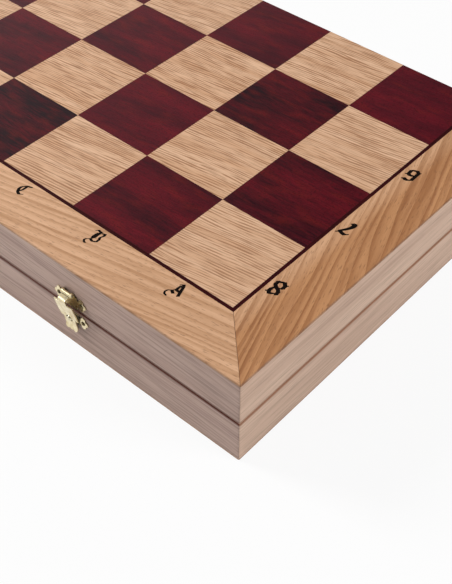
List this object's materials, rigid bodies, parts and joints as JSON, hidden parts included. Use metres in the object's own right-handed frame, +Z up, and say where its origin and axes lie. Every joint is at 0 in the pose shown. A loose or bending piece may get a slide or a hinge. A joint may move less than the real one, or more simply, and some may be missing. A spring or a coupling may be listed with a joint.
{
  "type": "folding chess set",
  "caption": "Folding chess case of veneered board halves on mitred rails, hinged at the back and latched in front, with the men lying in a rack inside.",
  "frame": {"origin": "middle of the closed case's footprint, on the surface that it rests on", "axes": "+X to the right seen from the latch side, +Y from the latches to the hinges, +Z up through the shut case"},
  "size_m": [0.45, 0.2329, 0.05],
  "materials": {
    "rail_oak": "oiled oak rails with straight grain",
    "panel_board": "plain flat panel board",
    "frame_oak": "satin oak veneer with cathedral grain",
    "light_veneer": "satin tan oak veneer",
    "dark_veneer": "satin burgundy stained veneer",
    "inlay_dark": "satin dark inlay line",
    "lining_felt": "short pile felt",
    "rack_board": "thin board under the rack",
    "rack_wood": "sanded rack bars and stops",
    "men_light": "lacquered pale turned wood",
    "men_dark": "lacquered burgundy turned wood",
    "brass": "bright stamped brass",
    "pin_steel": "plain wire"
  },
  "bodies": {
    "lower_case": {"lower_front_rail": "rail_oak", "lower_back_rail": "rail_oak", "lower_left_rail": "rail_oak", "lower_right_rail": "rail_oak", "lower_panel": "panel_board", "lower_frame_veneer": "frame_oak", "lower_inlay_line": "inlay_dark", "lower_light_squares": "light_veneer", "lower_dark_squares": "dark_veneer", "rack_base": "rack_board", "rack_bars": "rack_wood", "rack_stops": "rack_wood", "light_king": "men_light", "light_queen": "men_light", "light_bishops": "men_light", "light_knights": "men_light", "light_rooks": "men_light", "light_pawns": "men_light", "dark_king": "men_dark", "dark_queen": "men_dark", "dark_bishops": "men_dark", "dark_knights": "men_dark", "dark_rooks": "men_dark", "dark_pawns": "men_dark", "hinge_lower_leaves": "brass", "hinge_pins": "pin_steel", "hinge_lower_screws": "brass", "latch_lower_plates": "brass", "latch_studs": "brass", "latch_lower_nails": "brass"},
    "upper_case": {"upper_front_rail": "rail_oak", "upper_back_rail": "rail_oak", "upper_left_rail": "rail_oak", "upper_right_rail": "rail_oak", "upper_panel": "panel_board", "upper_frame_veneer": "frame_oak", "upper_inlay_line": "inlay_dark", "upper_light_squares": "light_veneer", "upper_dark_squares": "dark_veneer", "upper_lining": "lining_felt", "hinge_upper_leaves": "brass", "hinge_upper_screws": "brass", "latch_upper_plates": "brass", "latch_pins": "pin_steel", "latch_upper_nails": "brass"},
    "left_latch": {"left_latch_flap": "brass"},
    "right_latch": {"right_latch_flap": "brass"}
  },
  "joints": [
    {"name": "case_hinge", "type": "hinge", "parent": "lower_case", "child": "upper_case", "pos_m": [0, 0.11265, 0.025], "axis": [-1, 0, 0], "range_deg": [0, 180]},
    {"name": "left_latch_hinge", "type": "hinge", "parent": "upper_case", "child": "left_latch", "pos_m": [-0.1254, -0.11435, 0.0356], "axis": [-1, 0, 0], "range_deg": [0, 120]},
    {"name": "right_latch_hinge", "type": "hinge", "parent": "upper_case", "child": "right_latch", "pos_m": [0.1254, -0.11435, 0.0356], "axis": [-1, 0, 0], "range_deg": [0, 120]}
  ]
}
